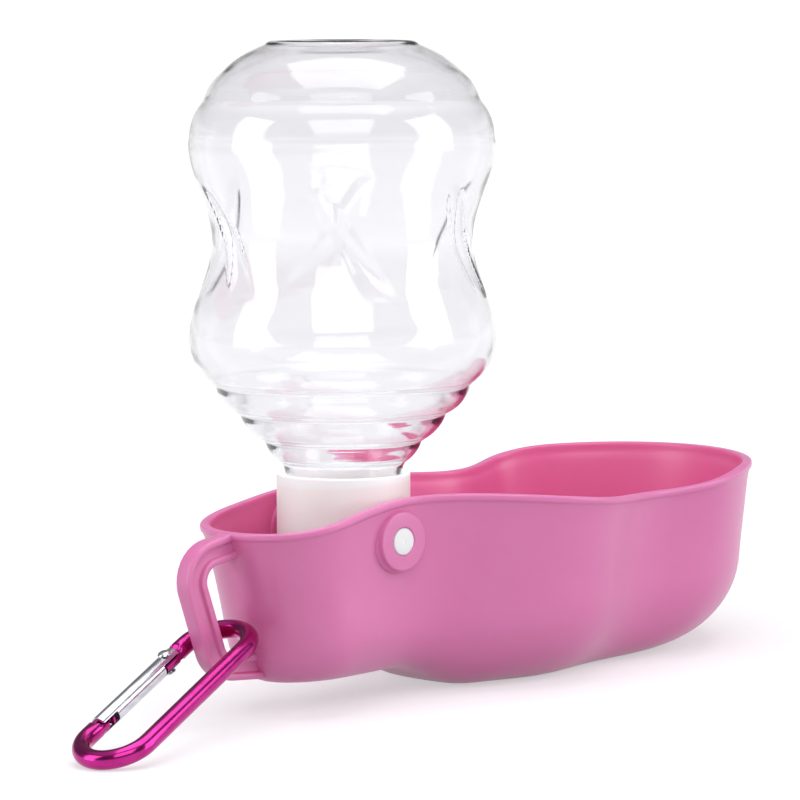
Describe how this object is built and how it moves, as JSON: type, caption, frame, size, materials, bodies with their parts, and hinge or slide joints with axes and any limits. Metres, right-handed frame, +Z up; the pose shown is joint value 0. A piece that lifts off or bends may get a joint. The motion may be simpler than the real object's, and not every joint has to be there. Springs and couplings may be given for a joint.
{
  "type": "folding dog travel drinker",
  "caption": "Squeeze bottle in a pivoting cap that folds down into a moulded drinking trough, with a snap-hook on a lanyard loop.",
  "frame": {"origin": "middle of the flat foot under the trough's bowl", "axes": "+X along the trough towards the bowl end, +Y along the bottle's pivot, +Z up; the open bottle stands over -X"},
  "size_m": [0.2037, 0.0772, 0.1488],
  "materials": {
    "trough_plastic": "satin moulded, pink",
    "soft_seal": "matt translucent silicone",
    "cap_plastic": "satin, milky white",
    "clear_plastic": "clear blown plastic",
    "anodised": "bright magenta anodised",
    "gate_steel": "bright plated"
  },
  "bodies": {
    "trough": {"trough": "trough_plastic", "outlet_seal": "soft_seal"},
    "cap": {"cap": "cap_plastic"},
    "washer": {"neck_seal": "soft_seal"},
    "bottle": {"bottle": "clear_plastic"},
    "hook": {"carabiner_body": "anodised", "gate_rivet": "gate_steel"},
    "gate": {"carabiner_gate": "gate_steel", "gate_latch_pin": "gate_steel", "gate_spring": "gate_steel"},
    "plunger": {"gate_plunger": "gate_steel"}
  },
  "joints": [
    {"name": "bottle_fold", "type": "hinge", "parent": "trough", "child": "cap", "pos_m": [-0.0575, 0, 0.0375], "axis": [0, 1, 0], "range_deg": [-15, 78]},
    {"name": "bottle_turn", "type": "hinge", "parent": "cap", "child": "washer", "pos_m": [-0.0575, 0, 0.0375], "axis": [0.0523, 0, 0.9986], "range_deg": [0, 180]},
    {"name": "bottle_lift", "type": "slide", "parent": "washer", "child": "bottle", "axis": [0.0523, 0, 0.9986], "range_m": [0, 0.0015]},
    {"name": "hook_swing", "type": "hinge", "parent": "trough", "child": "hook", "pos_m": [-0.0922, -0.0008, 0.02126], "axis": [-0.225, 0.9744, 0], "range_deg": [-60, 40]},
    {"name": "gate_open", "type": "hinge", "parent": "hook", "child": "gate", "pos_m": [-0.10802, 0.00366, 0.01583], "axis": [-0.3438, -0.0794, 0.9357], "range_deg": [0, 25], "stiffness_Nm_per_rad": 0.02, "deforming": ["gate_spring"]},
    {"name": "plunger_push", "type": "slide", "parent": "gate", "child": "plunger", "axis": [-0.9117, -0.2105, -0.3529], "range_m": [0, 0.0008]}
  ],
  "couplings": [
    {"joint": "bottle_lift", "follows": "bottle_turn", "m_per_rad": 0.00042972},
    {"joint": "plunger_push", "follows": "gate_open", "m_per_rad": 0.001375}
  ]
}
